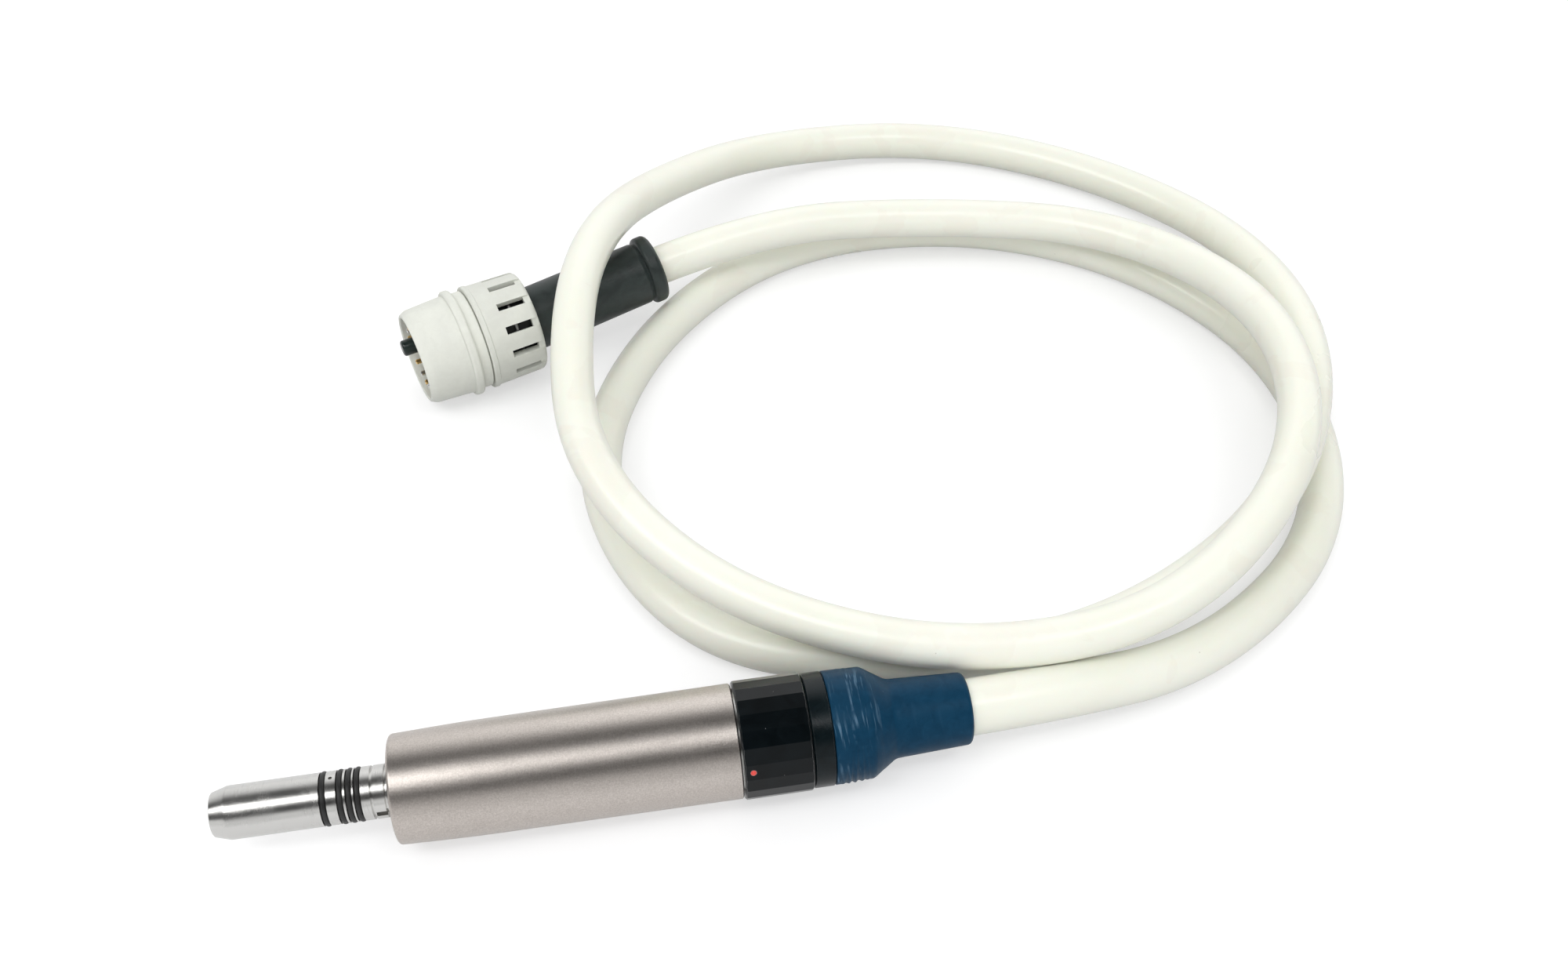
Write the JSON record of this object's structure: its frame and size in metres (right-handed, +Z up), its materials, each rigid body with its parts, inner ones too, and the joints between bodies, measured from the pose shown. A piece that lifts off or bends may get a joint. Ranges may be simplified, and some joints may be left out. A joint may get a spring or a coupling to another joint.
{
  "type": "dental micromotor",
  "caption": "Electric dental motor with a coupling spigot, sealed bearings and rotor, bayonet union ring, boot, long hose and a round plug with locking ring.",
  "frame": {"origin": "under the middle of the motor, on the surface that its union ring rests on", "axes": "+X along the motor's axis from the coupling spigot towards the hose, +Z up"},
  "size_m": [0.2497, 0.1983, 0.037],
  "materials": {
    "spigot_steel": "polished, turned",
    "seal_rubber": "smooth",
    "body_steel": "satin, bead-blasted, champagne tint",
    "black_metal": "glossy black coat",
    "satin_black": "satin black coat",
    "red_enamel": "enamel",
    "boot_silicone": "matt dark blue",
    "hose_silicone": "smooth, cream",
    "grey_plastic": "pale warm grey",
    "black_plastic": "moulded",
    "gold_plate": "plated",
    "silver_plate": "plated",
    "bearing_steel": "ground",
    "cage_polymer": "machined",
    "magnet": "ground",
    "copper": "varnished wire",
    "core_steel": "stacked sheets",
    "board": "coated",
    "brass": "turned",
    "spring_steel": "drawn wire"
  },
  "bodies": {
    "motor": {"coupling_spigot": "spigot_steel", "body_sleeve": "body_steel", "bayonet_sleeve": "spigot_steel", "collar_ring": "satin_black", "boot": "boot_silicone", "hose_connector": "black_plastic", "face_seal": "seal_rubber", "hose_ferrule": "spigot_steel", "hose": "hose_silicone", "stator_winding": "copper", "stator_core": "core_steel", "sensor_board": "board", "hall_sensors": "black_plastic", "rear_bearing_carrier": "spigot_steel", "preload_washer": "spring_steel", "terminal_block": "black_plastic", "motor_pins": "gold_plate", "water_tube": "spigot_steel", "spray_air_tube": "spigot_steel", "plug_shell": "grey_plastic", "contact_block": "black_plastic", "gold_contacts": "gold_plate", "silver_contacts": "silver_plate", "key_post": "black_plastic", "plug_core": "black_plastic", "snap_ring": "spring_steel", "strain_relief": "black_plastic", "seal_ring_1": "seal_rubber", "seal_ring_2": "seal_rubber", "seal_ring_3": "seal_rubber", "seal_ring_4": "seal_rubber", "front_bearing_outer_race": "bearing_steel", "rear_bearing_outer_race": "bearing_steel"},
    "rotor": {"rotor_shaft": "bearing_steel", "rotor_magnet": "magnet", "magnet_band": "spring_steel", "front_balance_ring": "brass", "rear_balance_ring": "brass", "front_bearing_inner_race": "bearing_steel", "rear_bearing_inner_race": "bearing_steel", "spring_collar": "bearing_steel", "dog_pin": "bearing_steel", "dog_spring": "spring_steel"},
    "front_cage": {"front_bearing_cage": "cage_polymer", "front_bearing_balls": "bearing_steel"},
    "rear_cage": {"rear_bearing_cage": "cage_polymer", "rear_bearing_balls": "bearing_steel"},
    "dog": {"drive_dog": "bearing_steel"},
    "union": {"union_ring": "black_metal", "index_dot": "red_enamel"},
    "plug_lock": {"locking_ring": "grey_plastic"}
  },
  "joints": [
    {"name": "rotor_spin", "type": "hinge", "parent": "motor", "child": "rotor", "pos_m": [0, 0, 0.0112], "axis": [1, 0, 0], "continuous": true},
    {"name": "front_cage_spin", "type": "hinge", "parent": "motor", "child": "front_cage", "pos_m": [-0.03438, 0, 0.0112], "axis": [1, 0, 0], "continuous": true},
    {"name": "rear_cage_spin", "type": "hinge", "parent": "motor", "child": "rear_cage", "pos_m": [0.01823, 0, 0.0112], "axis": [1, 0, 0], "continuous": true},
    {"name": "dog_slide", "type": "slide", "parent": "rotor", "child": "dog", "axis": [1, 0, 0], "range_m": [0, 0.0015], "stiffness_N_per_m": 400, "deforming": ["dog_spring"]},
    {"name": "union_ring_turn", "type": "hinge", "parent": "motor", "child": "union", "pos_m": [0.03308, 0, 0.0112], "axis": [1, 0, 0], "range_deg": [-35, 0]},
    {"name": "locking_ring_turn", "type": "hinge", "parent": "motor", "child": "plug_lock", "pos_m": [-0.0216, 0.1153, 0.0126], "axis": [0.9511, 0.309, 0], "range_deg": [0, 60]}
  ],
  "couplings": [
    {"joint": "front_cage_spin", "follows": "rotor_spin", "ratio": 0.37846},
    {"joint": "rear_cage_spin", "follows": "rotor_spin", "ratio": 0.37846}
  ]
}
